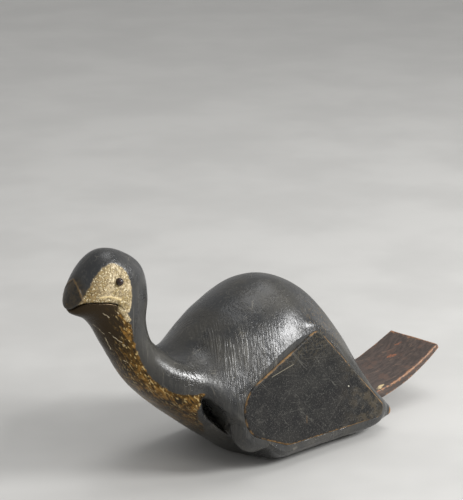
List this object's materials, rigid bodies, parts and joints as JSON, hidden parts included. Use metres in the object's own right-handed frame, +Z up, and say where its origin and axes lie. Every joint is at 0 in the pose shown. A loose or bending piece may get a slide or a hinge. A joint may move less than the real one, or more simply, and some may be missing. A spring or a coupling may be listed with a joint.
{
  "type": "wooden bird figurine",
  "caption": "Carved and lacquered wooden bird with a humped body, raised neck and head, let-in flat wing boards and an upswept tail board; an ornament that rests on its flat belly.",
  "frame": {"origin": "on the flat resting face under the belly, in the middle plane below the hump", "axes": "+X towards the beak, +Y to the bird's left, +Z up from the resting face"},
  "size_m": [0.3103, 0.1014, 0.1524],
  "materials": {
    "black_lacquer": "worn satin black lacquer with fine cracks and scratches",
    "worn_gilt": "black lacquer on the crown and nape, worn gold paint on the cheeks, throat and breast",
    "red_brown_wood": "red-brown stain worn at the edges",
    "bare_wood": "unfinished",
    "dark_glass": "polished"
  },
  "bodies": {
    "root": {"body": "black_lacquer", "neck_and_head": "worn_gilt", "lower_neck_dowel": "bare_wood", "upper_neck_dowel": "bare_wood", "left_wing": "black_lacquer", "right_wing": "black_lacquer", "left_wing_front_peg": "bare_wood", "left_wing_rear_peg": "bare_wood", "right_wing_front_peg": "bare_wood", "right_wing_rear_peg": "bare_wood", "tail_board": "red_brown_wood", "left_tail_peg": "bare_wood", "right_tail_peg": "bare_wood", "left_eye": "dark_glass", "right_eye": "dark_glass"}
  },
  "joints": []
}
